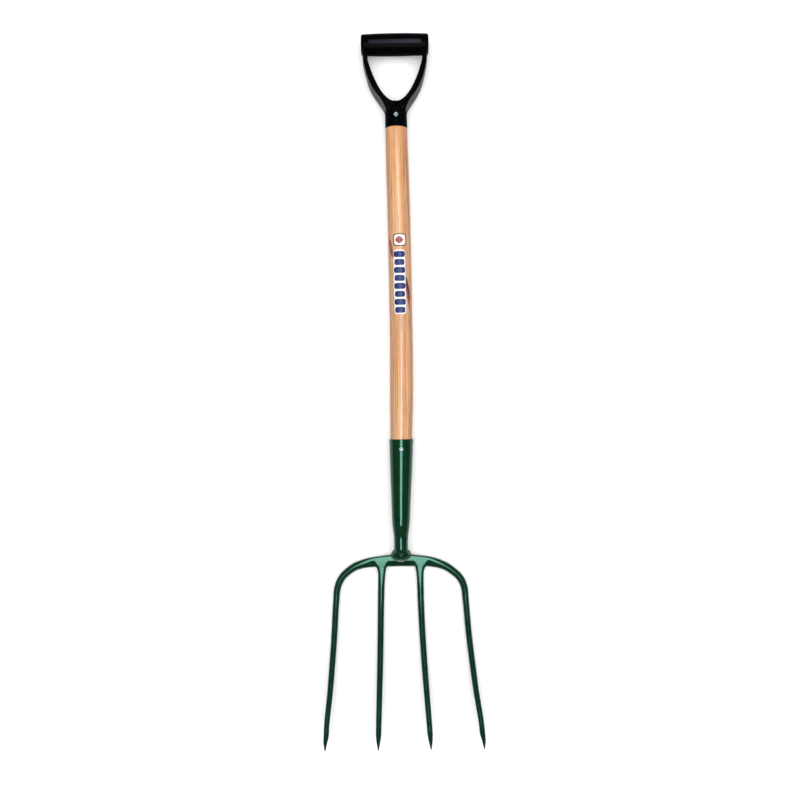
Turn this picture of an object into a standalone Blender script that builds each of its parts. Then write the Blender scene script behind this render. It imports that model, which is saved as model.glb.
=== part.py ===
"""Four-prong garden fork with a D grip, lying on its back.

X runs across the fork, Y along it with the grip at +Y, Z up.
Every piece is drawn in the tool's own frame, with the shaft's axis on Y.
The finished tool is then bowed sideways by a few millimetres, as natural
shafts are, and tilted a fraction of a degree so that the crossbar and the
heels of the tines rest on z = 0.
Lengths are in metres.
"""
import math
import bpy
import bmesh
from mathutils import Matrix, Vector

GAP = 0.0003                 # clearance left between neighbouring pieces

# grip
BAR_Y = 0.5547               # axis of the crossbar
BAR_HALF = 0.0539            # half of its length
BAR_R = 0.0175               # radius at the middle
BAR_R_END = 0.0162           # radius at the ends
BAR_ROUND = 0.0024           # edge rounding of the end faces
COLLAR_R = 0.0177
COLLAR_BOTTOM = 0.4200
COLLAR_TOP = 0.4560
BORE_R = 0.0140
BORE_TOP = 0.4520

# shaft
SHAFT_R = 0.01825
TENON_R = BORE_R - GAP

# socket and head
RIM_Y = -0.0770
NECK_END_Y = -0.2560
TANG_R = 0.0079
YOKE_Y = -0.2733
TIP_Y = -0.5722

# rivets
RIVET_R = 0.0025
RIVET_HEAD_R = 0.0041
GRIP_RIVET_Y = 0.4374
SOCKET_RIVET_Y = -0.0923

# transfer film on the shaft
LABEL_TOP = 0.2500
LABEL_BOTTOM = 0.1080
LABEL_ANGLE = 62.0
LABEL_T = 0.0003

# how the fork lies
FLOOR_GRIP = BAR_R           # depth of the floor below the axis at the crossbar
HEEL_Y = -0.2850
FLOOR_HEEL = 0.0214          # depth of the floor below the axis at the tines' heels

# how far the tool bows sideways along its length, as a natural shaft does
BOW = [(0.5722, 0.0), (0.5000, 0.0), (0.4200, 0.0005), (0.2700, 0.0026), (0.1100, 0.0035),
       (0.0300, 0.0031), (-0.0700, 0.0012), (-0.1600, -0.0006), (-0.2530, -0.0021),
       (-0.3400, -0.0035), (-0.4400, -0.0028), (-0.5722, -0.0009)]

MATERIALS = {
    "black_plastic": ((0.016, 0.016, 0.018), 0.42, 0.0),
    "ash_wood": ((0.60, 0.34, 0.16), 0.30, 0.0),
    "green_paint": ((0.006, 0.040, 0.020), 0.22, 0.0),
    "zinc_steel": ((0.62, 0.64, 0.66), 0.30, 1.0),
    "label_film": ((0.03, 0.05, 0.22), 0.30, 0.0),
}


def clear_scene():
    for ob in list(bpy.data.objects):
        bpy.data.objects.remove(ob, do_unlink=True)


def material(slot):
    mat = bpy.data.materials.get(slot)
    if mat is None:
        colour, rough, metal = MATERIALS[slot]
        mat = bpy.data.materials.new(slot)
        mat.use_nodes = True
        bsdf = mat.node_tree.nodes["Principled BSDF"]
        bsdf.inputs["Base Color"].default_value = (*colour, 1.0)
        bsdf.inputs["Roughness"].default_value = rough
        bsdf.inputs["Metallic"].default_value = metal
    return mat


def mesh_object(name, verts, faces, slot=None):
    mesh = bpy.data.meshes.new(name)
    mesh.from_pydata([tuple(v) for v in verts], [], faces)
    bm = bmesh.new()
    bm.from_mesh(mesh)
    bmesh.ops.recalc_face_normals(bm, faces=bm.faces)
    bm.to_mesh(mesh)
    bm.free()
    ob = bpy.data.objects.new(name, mesh)
    bpy.context.scene.collection.objects.link(ob)
    if slot:
        mesh.materials.append(material(slot))
    return ob


def loft(name, rings, slot=None, closed=False):
    """Skin a list of equal rings; the ends are capped unless the loft is a loop."""
    n = len(rings[0])
    verts = [v for ring in rings for v in ring]
    faces = []
    count = len(rings)
    for i in range(count if closed else count - 1):
        a = i * n
        b = ((i + 1) % count) * n
        for k in range(n):
            k2 = (k + 1) % n
            faces.append((a + k, a + k2, b + k2, b + k))
    if not closed:
        faces.append(tuple(range(n - 1, -1, -1)))
        faces.append(tuple(range((count - 1) * n, count * n)))
    return mesh_object(name, verts, faces, slot)


def circle_y(y, r, seg, z=0.0):
    step = 2.0 * math.pi / seg
    return [Vector((r * math.cos(k * step), y, z + r * math.sin(k * step))) for k in range(seg)]


def turned(name, profile, seg=48, slot=None, ring=False):
    """Turn (y, r) points about the tool's axis; ring closes the profile on itself."""
    return loft(name, [circle_y(y, r, seg) for y, r in profile], slot, closed=ring)


def sweep(name, path, seg=20, slot=None):
    """Elliptic tube along (x, y, z, half width, half thickness) stations."""
    pts = [Vector(p[:3]) for p in path]
    rings = []
    for i, p in enumerate(pts):
        ahead = pts[min(i + 1, len(pts) - 1)]
        behind = pts[max(i - 1, 0)]
        tangent = (ahead - behind).normalized()
        up = Vector((0, 0, 1))
        up = (up - tangent * up.dot(tangent)).normalized()
        side = tangent.cross(up)
        a, b = path[i][3], path[i][4]
        ring = []
        for k in range(seg):
            t = 2.0 * math.pi * k / seg
            ring.append(p + side * (a * math.cos(t)) + up * (b * math.sin(t)))
        rings.append(ring)
    return loft(name, rings, slot)


def rod_z(name, x, y, r, z0, z1, seg=24):
    step = 2.0 * math.pi / seg
    rings = []
    for z in (z0, z1):
        ring = [Vector((x + r * math.cos(k * step), y + r * math.sin(k * step), z)) for k in range(seg)]
        rings.append(ring)
    return loft(name, rings)


def boolean(target, tool, operation):
    mod = target.modifiers.new(operation.lower(), "BOOLEAN")
    mod.operation = operation
    mod.solver = "EXACT"
    mod.object = tool
    bpy.context.view_layer.update()
    graph = bpy.context.evaluated_depsgraph_get()
    mesh = bpy.data.meshes.new_from_object(target.evaluated_get(graph))
    target.modifiers.clear()
    old = target.data
    target.data = mesh
    bpy.data.meshes.remove(old)
    bpy.data.objects.remove(tool, do_unlink=True)


def smoothstep(t):
    t = min(max(t, 0.0), 1.0)
    return t * t * (3.0 - 2.0 * t)


def table(points, y):
    """Smooth curve through (y, value) points whose y falls: cubic, slopes from the neighbours."""
    y = min(max(y, points[-1][0]), points[0][0])
    i = 0
    while i < len(points) - 2 and y < points[i + 1][0]:
        i += 1
    (y0, v0), (y1, v1) = points[i], points[i + 1]
    span = y1 - y0
    s0 = (v1 - v0) / span
    s1 = s0
    if i > 0:
        s0 = (v1 - points[i - 1][1]) / (y1 - points[i - 1][0])
    if i < len(points) - 2:
        s1 = (points[i + 2][1] - v0) / (points[i + 2][0] - y0)
    t = (y - y0) / span
    return ((2 * t**3 - 3 * t**2 + 1) * v0 + (t**3 - 2 * t**2 + t) * span * s0
            + (3 * t**2 - 2 * t**3) * v1 + (t**3 - t**2) * span * s1)


# ---------------------------------------------------------------- grip
GRIP_WIDTH = [
    (0.5480, 0.0531), (0.5294, 0.0518), (0.5166, 0.0500), (0.5038, 0.0469), (0.4910, 0.0433),
    (0.4782, 0.0376), (0.4680, 0.0313), (0.4590, 0.0252), (0.4526, 0.0209), (0.4462, 0.0179),
    (0.4400, 0.0168), (0.4340, 0.0160)]
GRIP_RIB = [
    (0.5480, 0.0520), (0.5244, 0.0505), (0.5116, 0.0476), (0.4984, 0.0438), (0.4808, 0.0353),
    (0.4632, 0.0226), (0.4513, 0.0168), (0.4400, 0.0135), (0.4340, 0.0120)]
OPEN_HALF = 0.0440           # half width of the hand opening near the crossbar
OPEN_TALL = 0.0688           # its height there, above OPEN_FOOT
OPEN_FOOT = 0.4602
ARM_FRONT = 0.0146           # half thickness of arms and neck
RIM_BACK = 0.0080            # depth of the flank's outer edge behind the middle


def make_bar():
    rings = []
    seg = 40
    half = BAR_HALF
    profile = [(-half, BAR_R_END - BAR_ROUND)]
    for k in range(1, 4):
        a = math.radians(30 * k)
        profile.append((-half + BAR_ROUND * (1 - math.cos(a)), BAR_R_END - BAR_ROUND * (1 - math.sin(a))))
    for k in range(1, 8):
        x = -half + BAR_ROUND + (2 * (half - BAR_ROUND)) * k / 8.0
        u = x / half
        profile.append((x, BAR_R - (BAR_R - BAR_R_END) * u * u))
    profile += [(-x, r) for x, r in reversed(profile[:4])]
    for x, r in profile:
        ring = []
        for k in range(seg):
            t = 2.0 * math.pi * k / seg
            ring.append(Vector((x, BAR_Y + r * math.cos(t), r * math.sin(t))))
        rings.append(ring)
    return loft("bar", rings)


def make_grip():
    rings = []
    steps = 28
    for i in range(steps + 1):
        y = 0.5450 - (0.5450 - 0.4360) * i / steps
        w = table(GRIP_WIDTH, y)
        rib = min(table(GRIP_RIB, y), w - 0.0012)
        zf = ARM_FRONT - 0.0020 * smoothstep((0.4520 - y) / 0.014)
        zr = RIM_BACK
        e = 0.0022
        half = [(rib - e, zf), (rib, zf - e), (w, -zr + e), (w, -zr), (w - 0.0016, -zf)]
        section = half + [(-x, z) for x, z in reversed(half)]
        rings.append([Vector((x, y, z)) for x, z in section])
    grip = loft("grip", rings, "black_plastic")

    outline = [(OPEN_HALF * 1.035, 0.5500)]
    for k in range(19):
        u = 1.035 * (1.0 - k / 18.5)
        outline.append((OPEN_HALF * u, OPEN_FOOT + OPEN_TALL * (0.9 * u**2 + 0.1 * u**6)))
    outline += [(-x, y) for x, y in reversed(outline)]
    window = loft("window", [[Vector((x, y, z)) for x, y in outline] for z in (-0.03, 0.03)])
    boolean(grip, window, "DIFFERENCE")
    boolean(grip, make_bar(), "UNION")
    collar = turned("collar", [
        (COLLAR_TOP, 0.0115), (COLLAR_TOP - 0.003, 0.0150), (COLLAR_TOP - 0.009, COLLAR_R),
        (COLLAR_BOTTOM + 0.0012, COLLAR_R), (COLLAR_BOTTOM, COLLAR_R - 0.0012)])
    boolean(grip, collar, "UNION")
    bore = turned("bore", [(BORE_TOP, 0.0120), (BORE_TOP - 0.002, BORE_R), (COLLAR_BOTTOM - 0.01, BORE_R)])
    boolean(grip, bore, "DIFFERENCE")
    hole = rod_z("hole", 0, GRIP_RIVET_Y, RIVET_R + GAP, -0.03, 0.03)
    boolean(grip, hole, "DIFFERENCE")
    seat = rod_z("seat", 0, GRIP_RIVET_Y, RIVET_HEAD_R + 2 * GAP, -0.03, -0.0158)
    boolean(grip, seat, "DIFFERENCE")
    return grip


# ---------------------------------------------------------------- shaft
def make_shaft():
    profile = [
        (BORE_TOP - 0.0032, 0.0118), (BORE_TOP - 0.0045, TENON_R), (COLLAR_BOTTOM - GAP, TENON_R),
        (COLLAR_BOTTOM - GAP - 0.0002, COLLAR_R - 0.0008), (0.4160, 0.0178), (0.3540, 0.0182),
        (0.2620, SHAFT_R),
        (0.1080, SHAFT_R), (0.0300, 0.0185), (-0.0200, 0.0184), (-0.0500, 0.0179), (-0.0700, 0.0176),
        (RIM_Y, 0.0174), (-0.0940, 0.0166), (-0.1100, 0.0158), (-0.1380, 0.0145), (-0.1650, 0.0132),
        (-0.1900, 0.0122), (-0.2050, 0.0115), (-0.2070, 0.0100)]
    shaft = turned("shaft", profile, 48, "ash_wood")
    for y in (GRIP_RIVET_Y, SOCKET_RIVET_Y):
        boolean(shaft, rod_z("hole", 0, y, RIVET_R + GAP, -0.03, 0.03), "DIFFERENCE")
    return shaft


def make_label():
    inner = SHAFT_R + GAP
    outer = inner + LABEL_T
    seg = 24
    rings = []
    for i in range(seg + 1):
        a = math.radians(-LABEL_ANGLE + 2.0 * LABEL_ANGLE * i / seg)
        s, c = math.sin(a), math.cos(a)
        rings.append([
            Vector((inner * s, LABEL_BOTTOM, inner * c)), Vector((outer * s, LABEL_BOTTOM, outer * c)),
            Vector((outer * s, LABEL_TOP, outer * c)), Vector((inner * s, LABEL_TOP, inner * c))])
    return loft("shaft_label", rings, "label_film")


# ---------------------------------------------------------------- socket
def make_socket():
    outer = [
        (RIM_Y, 0.0188), (RIM_Y - 0.0006, 0.0193), (RIM_Y - 0.0020, 0.0195), (RIM_Y - 0.0040, 0.0194),
        (RIM_Y - 0.0080, 0.0191), (-0.0960, 0.0188), (-0.1100, 0.0183), (-0.1380, 0.0173),
        (-0.1650, 0.0161),
        (-0.1900, 0.0151), (-0.2060, 0.0145), (-0.2160, 0.0138), (-0.2240, 0.0127), (-0.2320, 0.0116),
        (-0.2370, 0.0113), (NECK_END_Y, 0.0112)]
    inner = [
        (NECK_END_Y, 0.0082), (-0.2310, 0.0082), (-0.2220, 0.0098), (-0.2120, 0.0112), (-0.2060, 0.0118),
        (-0.1900, 0.0125), (-0.1650, 0.0135), (-0.1380, 0.0148), (-0.1100, 0.0161), (-0.0940, 0.0169),
        (RIM_Y - 0.0005, 0.0177), (RIM_Y, 0.0179)]
    socket = turned("socket", outer + inner, 48, "green_paint", ring=True)
    boolean(socket, rod_z("hole", 0, SOCKET_RIVET_Y, RIVET_R + GAP, -0.03, 0.03), "DIFFERENCE")
    return socket


def make_weld():
    """Fillet weld: a cone of metal from the neck down to the boss, round the socket's end."""
    end = NECK_END_Y - GAP
    profile = [
        (-0.2525, 0.0115), (-0.2525, 0.0118), (-0.2540, 0.0123), (-0.2557, 0.0134), (-0.2582, 0.0153),
        (-0.2607, 0.0168), (-0.2607, TANG_R + GAP), (end, TANG_R + GAP), (end, 0.0115)]
    return turned("weld_bead", profile, 48, "green_paint", ring=True)


# ---------------------------------------------------------------- head
def drop(y):
    """Height of yoke and tines: set back behind the axis, level at the heel, forward to the tip."""
    knots = [(-0.2717, -0.0150), (-0.290, -0.0152), (-0.345, -0.0144), (-0.400, -0.0128),
             (-0.450, -0.0097), (-0.500, -0.0050), (-0.540, 0.0006), (TIP_Y, 0.0055)]
    return table(knots, y)


OUTER = [
    (0.1270, TIP_Y, 0.0007), (0.1267, -0.5660, 0.0020), (0.1262, -0.5580, 0.0034),
    (0.1252, -0.5500, 0.0043), (0.1238, -0.5350, 0.0045), (0.1206, -0.5106, 0.0047),
    (0.1176, -0.4860, 0.0048), (0.1152, -0.4626, 0.0049), (0.1126, -0.4380, 0.0050),
    (0.1103, -0.4146, 0.0051), (0.1082, -0.3900, 0.0052), (0.1064, -0.3666, 0.0053),
    (0.1045, -0.3378, 0.0054), (0.1027, -0.3186, 0.0056), (0.0998, -0.3085, 0.0058),
    (0.0940, -0.2985, 0.0060), (0.0850, -0.2900, 0.0062), (0.0752, -0.2834, 0.0065),
    (0.0640, -0.2792, 0.0070), (0.0528, -0.2767, 0.0078), (0.0336, -0.2749, 0.0089),
    (0.0170, -0.2739, 0.0096), (0.0000, YOKE_Y, 0.0100)]
# how much tighter the right shoulder is forged than the left one, by distance from the middle
SINK = [
    (-0.0400, 0.0), (-0.0560, 0.0008), (-0.0680, 0.0015), (-0.0780, 0.0019), (-0.0880, 0.0019),
    (-0.0960, 0.0014), (-0.1010, 0.0007), (-0.1045, 0.0)]
INNER = [
    (0.0316, -0.2750, 0.0175), (0.0314, -0.2800, 0.0120), (0.0311, -0.2845, 0.0086),
    (0.0309, -0.2910, 0.0068), (0.0311, -0.3010, 0.0060), (0.0315, -0.3120, 0.0057),
    (0.0321, -0.3378, 0.0054), (0.0328, -0.3666, 0.0053), (0.0337, -0.3900, 0.0053),
    (0.0346, -0.4146, 0.0052), (0.0356, -0.4380, 0.0051), (0.0368, -0.4626, 0.0050),
    (0.0380, -0.4860, 0.0049), (0.0393, -0.5106, 0.0048), (0.0405, -0.5350, 0.0047),
    (0.0412, -0.5500, 0.0044), (0.0416, -0.5580, 0.0034), (0.0419, -0.5660, 0.0020),
    (0.0420, TIP_Y, 0.0007)]


def make_head():
    left = [(-x, y, drop(y), r, min(r, 0.0062)) for x, y, r in OUTER]
    right = []
    for x, y, r in reversed(OUTER[:-1]):
        sink = table(SINK, -x)
        right.append((x - 0.6 * sink, y - sink, drop(y), r, min(r, 0.0062)))
    head = sweep("fork_head", left + right, 20, "green_paint")
    for side in (-1, 1):
        path = [(side * x, y, drop(y), r, min(r, 0.0061)) for x, y, r in INNER]
        boolean(head, sweep("tine", path, 20), "UNION")
    boss = turned("boss", [
        (-0.2240, 0.0066), (-0.2255, TANG_R), (-0.2610, TANG_R), (-0.2610, 0.0171), (-0.2629, 0.0167),
        (-0.2649, 0.0155), (-0.2669, 0.0138), (-0.2689, 0.0116), (-0.2709, 0.0088), (-0.2727, 0.0060)], 40)
    boolean(head, boss, "UNION")
    return head


# ---------------------------------------------------------------- rivets
def make_rivet(name, y, top, tail):
    """Domed head at the front, shank through to the tail."""
    h = RIVET_HEAD_R
    profile = [
        (tail, RIVET_R), (top + GAP, RIVET_R), (top + GAP, h), (top + 0.0009, h),
        (top + 0.0016, h * 0.82), (top + 0.0021, h * 0.50), (top + 0.0023, h * 0.15)]
    seg = 24
    rings = []
    for z, r in profile:
        ring = []
        for k in range(seg):
            t = 2.0 * math.pi * k / seg
            ring.append(Vector((r * math.cos(t), y + r * math.sin(t), z)))
        rings.append(ring)
    return loft(name, rings, "zinc_steel")


def make_burr(name, y, z_low, z_high):
    """Washer over the rivet's tail."""
    seg = 24
    rings = []
    for z, r in ((z_low, RIVET_R + GAP), (z_low, RIVET_HEAD_R), (z_high, RIVET_HEAD_R),
    (z_high, RIVET_R + GAP)):
        ring = []
        for k in range(seg):
            t = 2.0 * math.pi * k / seg
            ring.append(Vector((r * math.cos(t), y + r * math.sin(t), z)))
        rings.append(ring)
    return loft(name, rings, "zinc_steel", closed=True)


def lay_down(pieces):
    """Bow the tool, tilt its axis so that crossbar and tine heels touch z = 0, and centre it."""
    for ob in pieces:
        for v in ob.data.vertices:
            v.co.x += table(BOW, v.co.y)
    slope = math.atan2(FLOOR_HEEL - FLOOR_GRIP, BAR_Y - HEEL_Y)
    turn = Matrix.Rotation(-slope, 4, "X")
    for ob in pieces:
        ob.data.transform(turn)
    xs, ys, zs = zip(*[v.co for ob in pieces for v in ob.data.vertices])
    shift = Matrix.Translation((-(max(xs) + min(xs)) / 2, -(max(ys) + min(ys)) / 2, -min(zs)))
    for ob in pieces:
        ob.data.transform(shift)


def main():
    clear_scene()
    pieces = [make_grip(), make_shaft(), make_label(), make_socket(), make_weld(), make_head()]
    pieces.append(make_rivet("grip_rivet", GRIP_RIVET_Y, COLLAR_R - 0.0001, -0.0170))
    pieces.append(make_burr("grip_rivet_burr", GRIP_RIVET_Y, -0.0172, -0.0161))
    pieces.append(make_rivet("socket_rivet", SOCKET_RIVET_Y, 0.0188, -0.0196))
    pieces.append(make_burr("socket_rivet_burr", SOCKET_RIVET_Y, -0.0198, -0.0191))
    for ob in pieces:
        bm = bmesh.new()
        bm.from_mesh(ob.data)
        bmesh.ops.remove_doubles(bm, verts=bm.verts, dist=0.00002)
        bmesh.ops.recalc_face_normals(bm, faces=bm.faces)
        bm.to_mesh(ob.data)
        bm.free()
    lay_down(pieces)


main()
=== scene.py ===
"""A four-prong garden fork lying on its back: D grip, ash shaft, steel socket and forged head.

Shapes are drawn in the tool's own frame (the shaft's axis on Y, grip at +Y, front at +Z),
as grids of points worked out with numpy, and then laid down onto the floor by lay().
"""
import math
import bpy
import numpy as np
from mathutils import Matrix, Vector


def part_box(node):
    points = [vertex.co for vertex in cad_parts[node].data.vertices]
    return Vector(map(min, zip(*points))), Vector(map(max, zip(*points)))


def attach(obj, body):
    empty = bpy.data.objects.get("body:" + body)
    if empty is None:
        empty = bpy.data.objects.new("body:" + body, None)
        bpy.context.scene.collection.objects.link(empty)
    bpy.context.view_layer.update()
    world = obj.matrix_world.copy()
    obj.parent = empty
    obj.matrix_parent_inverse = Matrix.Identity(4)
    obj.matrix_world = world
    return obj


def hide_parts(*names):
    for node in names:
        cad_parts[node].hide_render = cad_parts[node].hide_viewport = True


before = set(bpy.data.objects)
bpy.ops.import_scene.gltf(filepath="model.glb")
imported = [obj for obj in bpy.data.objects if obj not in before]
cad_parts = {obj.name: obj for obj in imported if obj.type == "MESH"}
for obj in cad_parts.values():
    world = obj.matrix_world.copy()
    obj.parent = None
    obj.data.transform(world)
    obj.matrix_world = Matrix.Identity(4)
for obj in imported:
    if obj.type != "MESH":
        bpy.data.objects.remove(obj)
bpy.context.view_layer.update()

# ------------------------------------------------------------ driving sizes, in metres
BAR_Y = 0.5547               # crossbar of the grip
BAR_HALF = 0.0539
BAR_R = 0.0175
BAR_R_END = 0.0162
BAR_ROUND = 0.0024
COLLAR_R = 0.0177
COLLAR_BOTTOM = 0.4200
SHAFT_R = 0.01825
RIM_Y = -0.0770              # socket
NECK_END_Y = -0.2560
BORE_R = 0.0083              # hole of neck and weld, round the head's tang
LUMPS_Y = -0.2564            # middle of the weld's lumpy shoulder
WELD_END_Y = -0.2608
YOKE_Y = -0.2733             # head
TIP_Y = -0.5722
GRIP_RIVET_Y = 0.4374
SOCKET_RIVET_Y = -0.0923
RIVET_R = 0.0025
RIVET_HEAD_R = 0.0037

FLOOR_GRIP = BAR_R           # depth of the floor under the axis at the crossbar
FLOOR_HEEL = 0.0214          # and at the heels of the tines
HEEL_Y = -0.2850
SLOPE = math.atan2(FLOOR_HEEL - FLOOR_GRIP, BAR_Y - HEEL_Y)
grip_low, grip_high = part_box("grip")
LIFT = grip_low.z + BAR_R + math.sin(SLOPE) * BAR_Y
SHIFT = grip_high.y - BAR_R - math.cos(SLOPE) * BAR_Y
MIDDLE = (grip_low.x + grip_high.x) / 2
# how far the tool bows sideways along its length
BOW = [(0.5722, 0.0), (0.5000, 0.0), (0.4200, 0.0005), (0.2700, 0.0026), (0.1100, 0.0035),
       (0.0300, 0.0031), (-0.0700, 0.0012), (-0.1600, -0.0006), (-0.2530, -0.0021),
       (-0.3400, -0.0035), (-0.4400, -0.0028), (-0.5722, -0.0009)]


# ------------------------------------------------------------ mesh helpers
def lay(points):
    """Bow the points, turn them about X by the slope, and shift them, as the CAD solids lie."""
    c, s = math.cos(SLOPE), math.sin(SLOPE)
    x, y, z = points[..., 0], points[..., 1], points[..., 2]
    across = x + level(BOW, y) + MIDDLE
    return np.stack([across, y * c + z * s + SHIFT, z * c - y * s + LIFT], axis=-1)


def unlay(points):
    """Back from the floor into the tool's own frame."""
    c, s = math.cos(SLOPE), math.sin(SLOPE)
    up, along = points[..., 2] - LIFT, points[..., 1] - SHIFT
    y, z = along * c - up * s, along * s + up * c
    return np.stack([points[..., 0] - MIDDLE - level(BOW, y), y, z], axis=-1)


def hermite(t, h, a, b, slope_a, slope_b):
    """Cubic from a to b over a step h, with the given slopes, at the fraction t."""
    return ((2 * t**3 - 3 * t**2 + 1) * a + (t**3 - 2 * t**2 + t) * h * slope_a
            + (3 * t**2 - 2 * t**3) * b + (t**3 - t**2) * h * slope_b)


def through(points, count):
    """Cubic curve through the points, slopes from their neighbours, evenly sampled."""
    p = np.asarray(points, float)
    reach = min(p.shape[1], 2)
    d = np.concatenate([[0.0], np.cumsum(np.linalg.norm(np.diff(p[:, :reach], axis=0), axis=1))])
    m = np.gradient(p, d, axis=0)
    t = np.linspace(0.0, d[-1], count)
    i = np.clip(np.searchsorted(d, t, "right") - 1, 0, len(p) - 2)
    h = (d[i + 1] - d[i])[:, None]
    return hermite((t - d[i])[:, None] / h, h, p[i], p[i + 1], m[i], m[i + 1])


def level(points, y):
    """Value at y on the smooth curve through (y, value) points whose y falls."""
    at, v = np.asarray(points, float).T
    m = np.concatenate([[(v[1] - v[0]) / (at[1] - at[0])], (v[2:] - v[:-2]) / (at[2:] - at[:-2]),
                        [(v[-1] - v[-2]) / (at[-1] - at[-2])]])
    y = np.clip(y, at[-1], at[0])
    i = np.clip(np.searchsorted(-at, -y, "right") - 1, 0, len(at) - 2)
    h = at[i + 1] - at[i]
    return hermite((y - at[i]) / h, h, v[i], v[i + 1], m[i], m[i + 1])


def ease(x, low, high):
    """0 below low, 1 above high, smooth between."""
    t = np.clip((x - low) / (high - low), 0.0, 1.0)
    return t * t * (3.0 - 2.0 * t)


def shell(grid, ring=False):
    """Points and faces of one closed body: a grid of rings, capped, or joined end to end."""
    rows, cols = grid.shape[:2]
    index = np.arange(rows * cols).reshape(rows, cols)
    low, high = (index, np.roll(index, -1, axis=0)) if ring else (index[:-1], index[1:])
    quads = np.stack([low, np.roll(low, -1, axis=1), np.roll(high, -1, axis=1), high], axis=-1)
    quads = quads.reshape(-1, 4)
    pts = grid.reshape(-1, 3)
    a, b, c, d = (pts[quads[:, k]] for k in range(4))
    centre = pts.mean(axis=0)
    volume = np.einsum("ij,ij->", a - centre, np.cross(c - a, d - b))
    caps = [] if ring else [index[0][::-1], index[-1]]
    if volume < 0:
        quads = quads[:, ::-1]
        caps = [cap[::-1] for cap in caps]
    return pts, quads.tolist() + [cap.tolist() for cap in caps]


def piece(name, shells, finish, replaced=None):
    """One object from one or more closed bodies, at the origin, riding on the fork."""
    verts, faces, start = [], [], 0
    for pts, polys in shells:
        verts.append(pts)
        faces += [[k + start for k in poly] for poly in polys]
        start += len(pts)
    mesh = bpy.data.meshes.new(name)
    mesh.from_pydata(lay(np.concatenate(verts)).tolist(), [], faces)
    mesh.shade_smooth()
    mesh.materials.append(finish)
    ob = bpy.data.objects.new(name, mesh)
    bpy.context.scene.collection.objects.link(ob)
    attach(ob, "root")
    if replaced:
        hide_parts(replaced)
    return ob


def apply_modifiers(ob):
    bpy.context.view_layer.update()
    graph = bpy.context.evaluated_depsgraph_get()
    mesh = bpy.data.meshes.new_from_object(ob.evaluated_get(graph))
    ob.modifiers.clear()
    ob.data = mesh
    mesh.shade_smooth()


def blend_shells(ob, voxel, rounds):
    """Fuse overlapping bodies into one skin and soften the joins into fillets."""
    fuse = ob.modifiers.new("fuse", "REMESH")
    fuse.mode = "VOXEL"
    fuse.voxel_size = voxel
    fuse.adaptivity = 0.0
    soften = ob.modifiers.new("soften", "SMOOTH")
    soften.factor = 0.5
    soften.iterations = rounds
    apply_modifiers(ob)


def turned_y(profile, cols, wobble=0.0):
    """Turn (y, r) rows about the tool's axis; wobble makes the section a little oval."""
    theta = np.linspace(0.0, 2 * math.pi, cols, endpoint=False)
    y, r = profile[:, 0:1], profile[:, 1:2]
    r = r * (1.0 + wobble * np.cos(2 * theta)[None, :])
    return np.stack([r * np.cos(theta), y + 0 * theta + 0 * r, r * np.sin(theta)], axis=-1)


def turned_z(profile, y, cols):
    """Turn (z, r) rows about an upright axis through y."""
    theta = np.linspace(0.0, 2 * math.pi, cols, endpoint=False)
    z, r = profile[:, 0:1], profile[:, 1:2]
    return np.stack([r * np.cos(theta), y + r * np.sin(theta), z + 0 * theta], axis=-1)


def swept(path, half_wide, half_thick, cols, flat, bevel, ridge, square):
    """Carry an ellipse along a path; flat cuts its front off level, and from the ridge on
    towards the path's right-hand side that cut falls away at the slope called bevel. On the
    left-hand side of the front the ellipse's power is 2 + square."""
    theta = np.linspace(0.0, 2 * math.pi, cols, endpoint=False)[None, :]
    run = np.gradient(path, axis=0)
    run /= np.linalg.norm(run, axis=1)[:, None]
    up = np.array([0.0, 0.0, 1.0]) - run * run[:, 2:3]
    up /= np.linalg.norm(up, axis=1)[:, None]
    side = np.cross(run, up)
    a, b, f = half_wide[:, None], half_thick[:, None], flat[:, None]
    s = a * np.cos(theta)
    power = 2.0 + square[:, None] * (s < 0.0)
    t = b * np.maximum(1.0 - np.abs(np.cos(theta)) ** power, 0.0) ** (1.0 / power)
    t = np.where(np.sin(theta) > 0.0, t, np.minimum(b, UNDER) * np.sin(theta))
    t = np.where(t > f * b, f * b + (t - f * b) * CROWN, t)
    fall = bevel[:, None] * np.maximum(s - ridge[:, None] * a, 0.0)
    t = t - fall * np.clip(t / (0.5 * b), 0.0, 1.0)
    return path[:, None, :] + side[:, None, :] * s[..., None] + up[:, None, :] * t[..., None]


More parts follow.
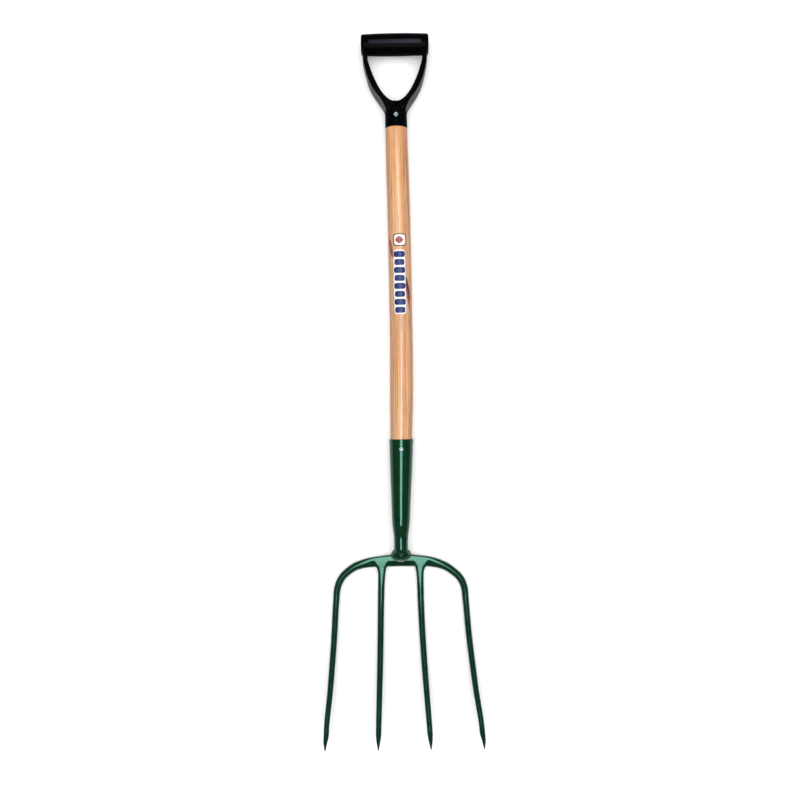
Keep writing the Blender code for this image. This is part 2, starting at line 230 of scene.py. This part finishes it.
# ------------------------------------------------------------ finishes
class Finish:
    """Short-hand for a node material: a Principled shader fed from Object coordinates."""

    def __init__(self, name):
        self.mat = bpy.data.materials.new(name)
        self.mat.use_nodes = True
        self.tree = self.mat.node_tree
        self.shader = self.tree.nodes["Principled BSDF"]
        self.place = self.tree.nodes.new("ShaderNodeTexCoord").outputs["Object"]

    def node(self, kind, inputs, **settings):
        made = self.tree.nodes.new("ShaderNode" + kind)
        for key, value in settings.items():
            setattr(made, key, value)
        for key, value in inputs.items():
            if isinstance(value, bpy.types.NodeSocket):
                self.tree.links.new(value, made.inputs[key])
            else:
                made.inputs[key].default_value = value
        return made

    def scaled(self, scale, offset=(0, 0, 0)):
        made = self.node("Mapping", {"Vector": self.place, "Scale": scale, "Location": offset})
        return made.outputs[0]

    def noise(self, scale, detail=4.0, rough=0.55, offset=(0, 0, 0)):
        made = self.node("TexNoise", {"Vector": self.scaled(scale, offset), "Scale": 1.0,
                                      "Detail": detail, "Roughness": rough})
        return made.outputs["Fac"]

    def math(self, operation, a, b=0.0):
        return self.node("Math", {0: a, 1: b}, operation=operation).outputs[0]

    def attribute(self, name):
        return self.node("Attribute", {}, attribute_name=name).outputs["Fac"]

    def ramp(self, value, low, high, start=0.0, end=1.0):
        limits = {"From Min": low, "From Max": high, "To Min": start, "To Max": end}
        made = self.node("MapRange", {"Value": value, **limits}, interpolation_type="SMOOTHSTEP")
        return made.outputs["Result"]

    def mix(self, fac, a, b, blend="MIX"):
        made = self.tree.nodes.new("ShaderNodeMix")
        made.data_type = "RGBA"
        made.blend_type = blend
        sockets = [made.inputs[0], made.inputs[6], made.inputs[7]]
        for socket, value in zip(sockets, (fac, a, b)):
            if isinstance(value, bpy.types.NodeSocket):
                self.tree.links.new(value, socket)
            else:
                socket.default_value = value if socket is sockets[0] else (*value, 1.0)
        return made.outputs[2]

    def bump(self, height, strength, distance):
        made = self.node("Bump", {"Height": height, "Strength": strength, "Distance": distance})
        self.tree.links.new(made.outputs["Normal"], self.shader.inputs["Normal"])

    def axis(self, letter):
        return self.node("SeparateXYZ", {"Vector": self.place}).outputs[letter]

    def set(self, **values):
        for key, value in values.items():
            socket = self.shader.inputs[key.replace("_", " ")]
            if isinstance(value, bpy.types.NodeSocket):
                self.tree.links.new(value, socket)
            else:
                socket.default_value = value


def ash_wood():
    """Growth rings cut lengthwise, fine pores and streaks, painted shade darkening the sides, under
    lacquer.
    """
    f = Finish("lacquered_ash")
    drift = f.noise((9.0, 1.6, 9.0), detail=2.0)
    flat = f.scaled((1.0, 0.0, 1.0), offset=(0.034, 0.0, 0.030))
    far = f.node("VectorMath", {0: flat}, operation="LENGTH").outputs["Value"]
    rings = f.math("ADD", f.math("MULTIPLY", far, 330.0), f.math("MULTIPLY", drift, 5.0))
    late = f.ramp(f.math("FRACT", rings), 0.35, 0.95)
    streak = f.noise((420.0, 5.0, 420.0), detail=5.0, rough=0.6)
    broad = f.noise((110.0, 2.6, 110.0), detail=3.0)
    pink = f.noise((190.0, 3.4, 190.0), detail=2.0, offset=(3.0, 1.0, 7.0))
    pores = f.ramp(f.noise((1100.0, 30.0, 1100.0), detail=2.0), 0.56, 0.68)
    tone = f.mix(f.ramp(broad, 0.34, 0.66), (0.58, 0.275, 0.125), (0.80, 0.480, 0.245))
    tone = f.mix(f.ramp(pink, 0.45, 0.66, 0.0, 0.55), tone, (0.68, 0.335, 0.190))
    tone = f.mix(f.math("MULTIPLY", late, 0.60), tone, (0.46, 0.200, 0.085))
    tone = f.mix(f.ramp(streak, 0.44, 0.70, 0.0, 0.55), tone, (0.88, 0.565, 0.310))
    tone = f.mix(f.math("MULTIPLY", pores, 0.55), tone, (0.24, 0.105, 0.045))
    warm = f.ramp(f.axis("Y"), 0.15, 0.42)
    tone = f.mix(warm, tone, (0.98, 0.90, 0.82), blend="MULTIPLY")
    # painted shade: the shaft is darkened towards its sides, as light falls off round the cylinder
    side = f.math("ADD", f.attribute("side"), f.math("MULTIPLY", f.math("SUBTRACT", broad, 0.5), 0.3))
    tone = f.mix(f.ramp(side, 0.55, 1.0), tone, (0.56, 0.50, 0.47), blend="MULTIPLY")
    f.set(Base_Color=tone, Roughness=f.ramp(streak, 0.3, 0.7, 0.42, 0.58), IOR=1.25,
          Coat_Weight=0.7, Coat_Roughness=0.17, Coat_IOR=1.36)
    f.bump(f.math("ADD", f.math("MULTIPLY", pores, -1.0), late), 0.12, 0.0002)
    return f.mat


def green_paint():
    """Dark green enamel with a little orange peel, thin at the points, which are worn bare."""
    f = Finish("green_enamel")
    mottled = f.noise((120.0, 120.0, 120.0), detail=4.0)
    chips = f.ramp(f.noise((260.0, 190.0, 260.0), detail=6.0, rough=0.7), 0.68, 0.72)
    edge = f.math("ADD", f.axis("Y"), f.math("MULTIPLY", mottled, 0.010))
    bare = f.math("SUBTRACT", 1.0, f.ramp(edge, TIP_Y + 0.010, TIP_Y + 0.017))
    bare = f.math("MAXIMUM", bare, f.math("MULTIPLY", chips, 0.08))
    paint = f.mix(f.ramp(mottled, 0.3, 0.7), (0.0026, 0.021, 0.0085), (0.0044, 0.030, 0.0130))
    steel = f.mix(mottled, (0.030, 0.026, 0.022), (0.075, 0.066, 0.056))
    f.set(Base_Color=f.mix(bare, paint, steel), Roughness=f.ramp(mottled, 0.3, 0.7, 0.09, 0.15),
          IOR=1.46, Specular_Tint=(0.42, 1.0, 0.78, 1.0))
    f.bump(f.noise((240.0, 240.0, 240.0), detail=2.0), 0.05, 0.0004)
    return f.mat


def black_plastic():
    """Moulded polypropylene: fine grain; coarse grain and a painted grey reflection on the flanks; a
    painted highlight band on the crossbar.
    """
    f = Finish("black_polypropylene")
    grain = f.noise((2600.0, 2600.0, 2600.0), detail=2.0)
    coarse = f.noise((760.0, 760.0, 760.0), detail=3.0)
    scuff = f.noise((60.0, 60.0, 60.0), detail=5.0, rough=0.65)
    flank = f.attribute("flank")
    smooth = f.mix(f.ramp(scuff, 0.35, 0.75), (0.0010, 0.0010, 0.0013), (0.0026, 0.0025, 0.0032))
    # painted highlight: a lighter band along the crossbar, stronger to the right, in place of a lamp's
    # reflection
    smooth = f.mix(f.attribute("painted_band_highlight"), smooth, (0.0300, 0.0290, 0.0400))
    # painted reflection: the slanted flanks are coloured grey where they would mirror the bright floor;
    # the coarse grain on them is real
    grey = f.mix(f.ramp(coarse, 0.35, 0.65), (0.060, 0.060, 0.070), (0.150, 0.150, 0.166))
    f.set(Base_Color=f.mix(flank, smooth, grey), Roughness=f.ramp(scuff, 0.3, 0.75, 0.18, 0.28),
          IOR=1.05)
    f.bump(f.mix(flank, grain, coarse), 0.12, 0.0001)
    return f.mat


def zinc():
    """Dull zinc plate with faint brushed lines."""
    f = Finish("zinc_plate")
    brushed = f.noise((900.0, 5200.0, 900.0), detail=3.0)
    colour = f.mix(f.ramp(brushed, 0.3, 0.7), (0.21, 0.27, 0.31), (0.36, 0.43, 0.47))
    f.set(Base_Color=colour, Metallic=1.0, Roughness=f.ramp(brushed, 0.3, 0.7, 0.30, 0.42))
    f.bump(brushed, 0.08, 0.0001)
    return f.mat


def film(name, dark, light):
    """Printed film with a slightly uneven ink."""
    f = Finish(name)
    ink = f.noise((420.0, 420.0, 420.0), detail=3.0)
    f.set(Base_Color=f.mix(f.ramp(ink, 0.35, 0.65), dark, light),
          Roughness=f.ramp(ink, 0.3, 0.7, 0.30, 0.42), IOR=1.25)
    return f.mat


# ------------------------------------------------------------ grip
GRIP_WIDTH = [
    (0.5480, 0.0531), (0.5294, 0.0518), (0.5166, 0.0500), (0.5038, 0.0469), (0.4910, 0.0433),
    (0.4782, 0.0376), (0.4680, 0.0313), (0.4590, 0.0252), (0.4526, 0.0209), (0.4462, 0.0179),
    (0.4400, 0.0168), (0.4340, 0.0160)]
GRIP_RIB = [
    (0.5480, 0.0520), (0.5244, 0.0505), (0.5116, 0.0476), (0.4984, 0.0438), (0.4808, 0.0353),
    (0.4632, 0.0226), (0.4513, 0.0168), (0.4400, 0.0135), (0.4340, 0.0120)]
GRIP_VOXEL = 0.0007
OPEN_HALF = 0.0440           # half width of the hand opening near the crossbar
OPEN_TALL = 0.0688           # its height there, above OPEN_FOOT
OPEN_FOOT = 0.4602
ARM_FRONT = 0.0146           # half thickness of arms and neck
RIM_BACK = 0.0080            # depth of the flank's outer edge behind the middle
RIB_ROUND = 0.0022           # chamfer along the rib's edge
SINK_FROM, SINK_TO = 0.452, 0.438   # where the rib's front dies into the collar


def crossbar():
    """Barrel about X: radius falls with the square of x, and quarter circles round its ends."""
    a = np.linspace(0.0, math.pi / 2, 8)
    end_x = -BAR_HALF + BAR_ROUND * (1.0 - np.cos(a))
    end_r = BAR_R_END - BAR_ROUND * (1.0 - np.sin(a))
    mid_x = np.linspace(-BAR_HALF + BAR_ROUND, BAR_HALF - BAR_ROUND, 60)[1:-1]
    mid_r = BAR_R - (BAR_R - BAR_R_END) * (mid_x / BAR_HALF) ** 2
    x = np.concatenate([end_x, mid_x, -end_x[::-1]])[:, None]
    r = np.concatenate([end_r, mid_r, end_r[::-1]])[:, None]
    theta = np.linspace(0.0, 2 * math.pi, 96, endpoint=False)
    return np.stack([x + 0 * r * theta, BAR_Y + r * np.cos(theta), r * np.sin(theta)], axis=-1)


def front_of(y):
    """Height of the rib's front: level along the arms, sinking into the collar."""
    return ARM_FRONT - 0.0020 * (1.0 - ease(y, SINK_TO, SINK_FROM))


def half_section(y):
    """Right half of the grip's section, front to back: flat rib, slanting flank, back."""
    outer = level(GRIP_WIDTH, y)
    rib = np.minimum(level(GRIP_RIB, y), outer - 0.0012)
    front = front_of(y)
    back = front - 0.0026 * (1.0 - ease(y, SINK_TO, SINK_FROM))
    e = RIB_ROUND
    x = [rib - e, rib - 0.3 * e, rib, outer, outer, outer - 0.0016]
    z = [front, front - 0.3 * e, front - e, e - RIM_BACK + 0 * y, -RIM_BACK + 0 * y, -back]
    return np.stack(x, axis=1), np.stack(z, axis=1)


def arm(side):
    """One arm of the D, from the hand opening out to the grip's outline."""
    u = np.concatenate([[1.0, 1.0], np.linspace(1.0, 0.0, 110)[1:]])
    y = OPEN_FOOT + OPEN_TALL * (0.9 * u**2 + 0.1 * u**6)
    y[0] = 0.5480
    y = np.concatenate([y, OPEN_FOOT - np.array([0.0010, 0.0020, 0.0030])])
    u = np.concatenate([u, [0.0, 0.0, 0.0]])
    x, z = half_section(y)
    inner = (OPEN_HALF * u - 0.0002)[:, None]
    front, back = z[:, :1], z[:, -1:]
    x = np.concatenate([inner + 0.0012, x, inner + 0.0012, inner, inner], axis=1)
    z = np.concatenate([front, z, back, back + 0.0012, front - 0.0012], axis=1)
    return np.stack([side * x, y[:, None] + 0 * x, z], axis=-1)


def grip_neck():
    """The solid part between the hand opening and the collar."""
    y = np.linspace(OPEN_FOOT + 0.0004, 0.4350, 60)
    x, z = half_section(y)
    x, z = np.concatenate([x, -x[:, ::-1]], axis=1), np.concatenate([z, z[:, ::-1]], axis=1)
    return np.stack([x, y[:, None] + 0 * x, z], axis=-1)


def grip_marks(x, y, z):
    """Two masks for points of the grip: its flanks, grainy and painted with a grey reflection, and the
    painted highlight band on the crossbar.
    """
    # the flanks take coarse grain and a painted grey reflection of the floor
    rib = level(GRIP_RIB, y)
    slant = (np.abs(x) - rib) / np.maximum(level(GRIP_WIDTH, y) - rib, 0.0004)
    low = ease(front_of(y) - z, 0.0014, 0.0032)
    along = ease(y, 0.4440, 0.4520) * (1.0 - ease(y, 0.518, 0.534))
    flank = low * ease(slant, -0.10, 0.15) * along
    # painted highlight band: the angles round the crossbar that would mirror a lamp, rising towards the
    # right
    lean = np.degrees(np.arctan2(y - BAR_Y, z))
    band = ease(lean, -16.0, -10.0) * (1.0 - ease(lean, 3.0, 10.0))
    ends = 1.0 - ease(np.abs(x), 0.0395, 0.0435)
    highlight_rise = 0.55 + 0.45 * ease(x, -0.030, 0.030)
    on_bar = np.hypot(y - BAR_Y, z) < BAR_R + 0.001
    return flank, band * ends * highlight_rise * on_bar


def mark(mesh, name, values):
    """Store one number per point, for the finish to read."""
    mesh.attributes.new(name, "FLOAT", "POINT").data.foreach_set("value", values)


def make_grip(finish):
    """Crossbar, arms, neck and collar in one moulding."""
    collar = through([(0.4560, 0.0115), (0.4530, 0.0150), (0.4500, 0.0170), (0.4470, COLLAR_R),
                      (0.4400, COLLAR_R), (0.4212, COLLAR_R)], 60)
    foot = np.array([[0.4203, COLLAR_R - 0.0001], [COLLAR_BOTTOM, COLLAR_R - 0.0005]])
    grids = [crossbar(), arm(1), arm(-1), grip_neck(), turned_y(np.concatenate([collar, foot]), 96)]
    ob = piece("d_grip", [shell(g) for g in grids], finish, "grip")
    blend_shells(ob, GRIP_VOXEL, 5)
    mesh = ob.data
    flat = np.empty(len(mesh.vertices) * 3)
    mesh.vertices.foreach_get("co", flat)
    flank, painted_band_highlight = grip_marks(*unlay(flat.reshape(-1, 3)).T)
    mark(mesh, "flank", flank)
    mark(mesh, "painted_band_highlight", painted_band_highlight)
    return ob


# ------------------------------------------------------------ shaft, socket, weld
def make_shaft(finish):
    """Turned ash: a faint swell in the middle, then a long taper inside the socket."""
    body = through([(0.4195, 0.0176), (0.3540, 0.0181), (0.2620, SHAFT_R), (0.1080, SHAFT_R),
                    (0.0300, 0.0185), (-0.0200, 0.0184), (-0.0500, 0.0179), (RIM_Y, 0.0174),
                    (-0.0940, 0.0166), (-0.1100, 0.0158), (-0.1380, 0.0145), (-0.1650, 0.0132),
                    (-0.1900, 0.0122), (-0.2050, 0.0115)], 260)
    cols, oval = 128, 0.002
    ob = piece("ash_shaft", [shell(turned_y(body, cols, oval))], finish, "shaft")
    # how far round to the side each point faces, for the painted shade at the shaft's sides
    side_shade = np.abs(np.cos(np.linspace(0.0, 2 * math.pi, cols, endpoint=False)))
    mark(ob.data, "side", np.tile(side_shade, len(body)))
    return ob


def make_socket(finish):
    """Drawn steel tube: rounded rim, straight taper, a shoulder and a short neck."""
    a = np.linspace(0.0, math.pi, 12)
    rim = np.stack([RIM_Y - 0.0008 + 0.0008 * np.sin(a), 0.0187 - 0.0008 * np.cos(a)], axis=1)
    outer = through([(-0.0779, 0.0195), (-0.0810, 0.0194), (-0.0850, 0.0191), (-0.0960, 0.0188),
                     (-0.1100, 0.0183), (-0.1380, 0.0173), (-0.1650, 0.0161), (-0.1900, 0.0151),
                     (-0.2060, 0.0145), (-0.2160, 0.0138), (-0.2240, 0.0127), (-0.2320, 0.0116),
                     (-0.2370, 0.0113), (NECK_END_Y, 0.0112)], 240)
    inner = through([(NECK_END_Y, BORE_R), (-0.2310, BORE_R), (-0.2220, 0.0098), (-0.2060, 0.0118),
                     (-0.1650, 0.0135), (-0.1100, 0.0161), (-0.0790, 0.0178)], 90)
    tube = shell(turned_y(np.concatenate([rim, outer[2:], inner]), 128), ring=True)
    return piece("steel_socket", [tube], finish, "socket")


def make_weld(finish):
    """Fillet from neck to boss: a cone of metal, r + 0.45 mm sin(9 theta) lumps at its shoulder."""
    theta = np.linspace(0.0, 2 * math.pi, 240, endpoint=False)[None, :]
    cone = through([(-0.2522, 0.0109), (-0.2532, 0.0117), (-0.2545, 0.0126), (-0.2560, 0.0138),
                    (-0.2584, 0.0156), (WELD_END_Y, 0.0169)], 40)
    y, r = cone[:, :1], cone[:, 1:]
    shoulder = np.exp(-((y - LUMPS_Y) / 0.0018) ** 2)
    r = r + shoulder * (0.00045 * np.sin(9 * theta + 0.6) + 0.00020 * np.sin(23 * theta + 900 * y))
    y = y + 0.00030 * np.sin(5 * theta + 1.0) * shoulder
    r = np.concatenate([r, BORE_R + 0 * theta, BORE_R + 0 * theta])
    y = np.concatenate([y, WELD_END_Y + 0 * theta, LUMPS_Y + 0 * theta])
    grid = np.stack([r * np.cos(theta), y, r * np.sin(theta)], axis=-1)
    return piece("weld_ring", [shell(grid, ring=True)], finish, "weld_bead")


# ------------------------------------------------------------ head
def set_back(y):
    """Height of yoke and tines: behind the axis, level at the heel, forward to the tip."""
    return level([(-0.2717, -0.0150), (-0.290, -0.0152), (-0.345, -0.0144), (-0.400, -0.0128),
                  (-0.450, -0.0097), (-0.500, -0.0050), (-0.540, 0.0006), (TIP_Y, 0.0055)], y)


UNDER = 0.0061               # greatest half thickness behind the middle of any bar
YOKE_FRONT = 0.0062          # and in front of it, along the yoke
ROOT_FRONT = 0.0053          # height of the flat at the inner tines' roots
CROWN = 0.06                 # how much of the ellipse is left standing on a flat
HEAD_VOXEL = 0.0008

# half of the one bar that is yoke and outer tines: across, along, half width
OUTER = [(0.0000, YOKE_Y, 0.0100), (0.0170, -0.2739, 0.0096), (0.0336, -0.2749, 0.0089),
         (0.0528, -0.2767, 0.0078), (0.0640, -0.2792, 0.0070), (0.0752, -0.2834, 0.0065),
         (0.0850, -0.2900, 0.0062), (0.0940, -0.2985, 0.0060), (0.0998, -0.3085, 0.0058),
         (0.1027, -0.3186, 0.0056), (0.1045, -0.3378, 0.0053), (0.1082, -0.3900, 0.0051),
         (0.1126, -0.4380, 0.0050), (0.1176, -0.4860, 0.0048), (0.1238, -0.5350, 0.0045),
         (0.1249, -0.5500, 0.0043), (0.1262, -0.5580, 0.0034), (0.1267, -0.5660, 0.0021),
         (0.1270, TIP_Y, 0.0008)]
# how much tighter the right shoulder is forged than the left one, by distance from the middle
SINK = [(-0.0400, 0.0), (-0.0560, 0.0008), (-0.0680, 0.0015), (-0.0780, 0.0019), (-0.0880, 0.0019),
        (-0.0960, 0.0014), (-0.1010, 0.0007), (-0.1045, 0.0)]
# an inner tine, with its flared root: across, along, half width
INNER = [(0.0316, -0.2735, 0.0175), (0.0314, -0.2800, 0.0122), (0.0311, -0.2845, 0.0087),
         (0.0309, -0.2910, 0.0067), (0.0311, -0.3010, 0.0059), (0.0315, -0.3120, 0.0056),
         (0.0321, -0.3378, 0.0054), (0.0337, -0.3900, 0.0052), (0.0356, -0.4380, 0.0051),
         (0.0380, -0.4860, 0.0049), (0.0405, -0.5350, 0.0046), (0.0412, -0.5500, 0.0044),
         (0.0416, -0.5580, 0.0034), (0.0419, -0.5660, 0.0021), (0.0420, TIP_Y, 0.0008)]


def long_bar():
    """Yoke and outer tines: hammered flat and bevelled below its ridge, from bend to bend."""
    half = through(OUTER, 420)
    x, y, wide = np.concatenate([half[::-1] * [-1, 1, 1], half[1:]]).T
    sink = np.where(x > 0.0, level(SINK, -np.abs(x)), 0.0)
    path = np.stack([x - 0.6 * sink, y - sink, set_back(y)], axis=1)
    hammered = 1.0 - ease(np.abs(x), 0.036, 0.078)
    shoulder = (1.0 - hammered) * ease(y, -0.350, -0.325)
    flat = 1.0 - 0.17 * hammered - 0.035 * shoulder
    bevel = 0.15 * np.maximum(hammered, shoulder)
    ridge = -0.40 * ease(np.abs(x), 0.018, 0.050) * hammered
    return swept(path, wide, np.minimum(wide, YOKE_FRONT), 64, flat, bevel, ridge, 1.2 * hammered)


def inner_tine(side):
    """One inner tine: its root is as high and flat as the yoke, and thins out to a round bar."""
    x, y, wide = (through(INNER, 360) * [side, 1, 1]).T
    path = np.stack([x, y, set_back(y)], axis=1)
    flat = 1.0 - 0.22 * ease(y, -0.330, -0.272)
    root = ease(y, -0.360, -0.330)
    thick = (1.0 - root) * np.minimum(wide, UNDER) + root * ROOT_FRONT / flat
    return swept(path, wide, thick, 48, flat, 0 * flat, 0 * flat, 0 * flat)


def make_head(finish):
    """One forging: the yoke bar with the outer tines, two inner tines, and the boss."""
    grids = [long_bar(), inner_tine(-1), inner_tine(1)]
    boss = through([(WELD_END_Y, 0.0172), (-0.2629, 0.0168), (-0.2649, 0.0156), (-0.2669, 0.0139),
                    (-0.2689, 0.0117), (-0.2709, 0.0088), (-0.2727, 0.0050)], 40)
    grids.append(turned_y(boss, 96))
    ob = piece("forged_head", [shell(g) for g in grids], finish, "fork_head")
    blend_shells(ob, HEAD_VOXEL, 3)
    return ob


# ------------------------------------------------------------ rivets
def make_rivet(name, replaced, y, seat, tail, finish):
    """Tubular rivet: a low dome with a dimple in its middle, and the shank to its tail."""
    dome = [(0.0, 1.0), (0.0006, 0.99), (0.0014, 0.84), (0.0018, 0.62), (0.0016, 0.42),
            (0.0009, 0.26), (0.0007, 0.06)]
    head = through([(seat + rise, RIVET_HEAD_R * part) for rise, part in dome], 40)
    shank = np.array([[tail, RIVET_R], [tail + 0.0001, RIVET_R], [seat, RIVET_R]])
    body = shell(turned_z(np.concatenate([shank, head]), y, 64))
    return piece(name, [body], finish, replaced)


# ------------------------------------------------------------ transfer on the shaft
FILM_R = SHAFT_R + 0.00032   # radius of the lowest ink
FILM_T = 0.00010             # thickness of one ink
FILM_STEP = 0.00013          # from one layer of ink to the next
BARS = 8
BAR_PITCH = 0.0126
BAR_TOP = 0.2160             # middle of the topmost bar


def patch(centre_x, centre_y, half_w, half_h, layer, power=5.0, waves=0, slant=0.0):
    """Thin closed patch bent round the shaft: |u|^p + |v|^p = 1, scalloped by waves, sheared
    by slant."""
    v = np.sin(np.linspace(-math.pi / 2, math.pi / 2, 241 if waves else 49)) * 0.9999
    u = np.linspace(-1.0, 1.0, 17)
    reach = (1.0 - np.abs(v) ** power) ** (1.0 / power)
    if waves:
        reach = reach * (1.0 - 0.10 * np.cos(math.pi * waves * (v + 1.0) / 2.0) ** 6)
    across = centre_x + slant * v[:, None] + half_w * reach[:, None] * u[None, :]
    along = centre_y + half_h * v[:, None] + 0 * across
    low = FILM_R + layer * FILM_STEP
    rows = []
    for r, flip in ((low, 1), (low + FILM_T, -1)):
        angle = across / SHAFT_R
        sheet = np.stack([r * np.sin(angle), along, r * np.cos(angle)], axis=-1)
        rows.append(sheet[:, ::flip])
    return np.concatenate(rows, axis=1)


def ink(name, patches, finish, replaced=None):
    """One ink of the transfer, as one piece made of its patches."""
    shells = [shell(patch(*p[:6], **p[6])) for p in patches]
    return piece(name, shells, finish, replaced)


def make_transfer():
    """A plain, wordless transfer: blue bars on white, a framed lozenge, and two stripes.

    Each patch: across, along, half width, half height, layer, power, and further settings.
    """
    white = film("ink_white", (0.78, 0.78, 0.80), (0.88, 0.88, 0.90))
    navy = film("ink_navy", (0.010, 0.016, 0.070), (0.028, 0.060, 0.230))
    red = film("ink_red", (0.34, 0.050, 0.045), (0.46, 0.110, 0.095))
    dark = film("ink_dark", (0.030, 0.028, 0.028), (0.075, 0.070, 0.070))
    middle = BAR_TOP - BAR_PITCH * (BARS - 1) / 2.0
    tall = BAR_PITCH * BARS / 2.0 + 0.0006
    backing = (-0.0010, middle, 0.0103, tall, 0, 9.0, {"waves": BARS})
    bars = [(-0.0010, BAR_TOP - BAR_PITCH * k, 0.0090 - 0.0010 * (k % 2), 0.0048, 1, 4.0, {})
            for k in range(BARS)]
    ink("label_backing", [backing], white, "shaft_label")
    ink("label_bars", bars, navy)
    ink("label_frame", [(0.0002, 0.2388, 0.0104, 0.0098, 0, 5.0, {})], dark)
    ink("label_panel", [(0.0002, 0.2388, 0.0090, 0.0084, 1, 5.0, {})], white)
    ink("label_lozenge", [(-0.0004, 0.2386, 0.0062, 0.0060, 2, 1.35, {})], red)
    ink("label_stripes", [(-0.0138, 0.2250, 0.0017, 0.0150, 0, 2.0, {"slant": -0.0030}),
                          (0.0122, 0.1500, 0.0019, 0.0200, 0, 2.0, {"slant": -0.0034})], red)
    ink("label_shades", [(-0.0167, 0.2275, 0.0011, 0.0150, 0, 2.0, {"slant": -0.0030}),
                         (0.0126, 0.1620, 0.0019, 0.0190, 1, 2.0, {"slant": -0.0034})], dark)


# ------------------------------------------------------------ studio
FLOOR_HALF = 6.0
WATTS = 4.0                  # lamp power for one square metre at radiance 1
# middle, width, length and radiance of the two lights
STRIP = ((0.0, 0.115, 1.22), 0.46, 1.37, 9.5)
FILL = ((0.0, 0.60, 2.50), 5.00, 5.00, 1.65)


def panel(name, place, wide, long, radiance, glossy=True, diffuse=True):
    """A rectangular light that faces the floor."""
    light = bpy.data.lights.new(name, "AREA")
    light.shape = "RECTANGLE"
    light.size = wide
    light.size_y = long
    light.energy = radiance * WATTS * wide * long
    ob = bpy.data.objects.new(name, light)
    ob.location = place
    ob.visible_camera = False
    ob.visible_glossy = glossy
    ob.visible_diffuse = diffuse
    bpy.context.scene.collection.objects.link(ob)


def make_studio():
    """White floor, a wide fill overhead, and a strip light that only glossy parts see."""
    mesh = bpy.data.meshes.new("floor")
    corners = [(sx * FLOOR_HALF, sy * FLOOR_HALF, 0) for sx, sy in ((-1, -1), (1, -1), (1, 1), (-1, 1))]
    mesh.from_pydata(corners, [], [(0, 1, 2, 3)])
    floor = bpy.data.objects.new("floor", mesh)
    bpy.context.scene.collection.objects.link(floor)
    f = Finish("pale_floor")
    f.set(Base_Color=(0.90, 0.90, 0.90, 1.0), Roughness=0.9, Emission_Color=(1.0, 1.0, 1.0, 1.0),
          Emission_Strength=0.17)
    mesh.materials.append(f.mat)

    panel("strip", *STRIP, diffuse=False)
    panel("fill", *FILL, glossy=False)
    world = bpy.data.worlds.new("studio")
    world.use_nodes = True
    sky = world.node_tree.nodes["Background"].inputs
    sky["Color"].default_value = (1.0, 1.0, 1.0, 1.0)
    sky["Strength"].default_value = 0.10
    bpy.context.scene.world = world


def make_camera():
    """Straight above the fork's middle, a touch off square, so that its top leans left."""
    height = 1.42
    view_wide = 1.280
    axis_height = 0.020
    data = bpy.data.cameras.new("camera")
    data.sensor_width = 36.0
    data.lens = 36.0 * (height - axis_height) / view_wide
    ob = bpy.data.objects.new("camera", data)
    ob.location = (0.0010, -0.0146, height)
    ob.rotation_euler = (0.0, 0.0, -0.0152)
    bpy.context.scene.collection.objects.link(ob)
    bpy.context.scene.camera = ob
    bpy.context.scene.view_settings.view_transform = "Standard"


# ------------------------------------------------------------ assembly
make_camera()
make_studio()
plastic = black_plastic()
enamel = green_paint()
plate = zinc()
make_grip(plastic)
make_shaft(ash_wood())
make_socket(enamel)
make_weld(enamel)
make_head(enamel)
make_rivet("rivet_grip", "grip_rivet", GRIP_RIVET_Y, COLLAR_R, -0.0170, plate)
make_rivet("rivet_socket", "socket_rivet", SOCKET_RIVET_Y, 0.0189, -0.0196, plate)
make_transfer()
for node in ("grip_rivet_burr", "socket_rivet_burr"):
    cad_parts[node].data.materials.clear()
    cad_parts[node].data.materials.append(plate)
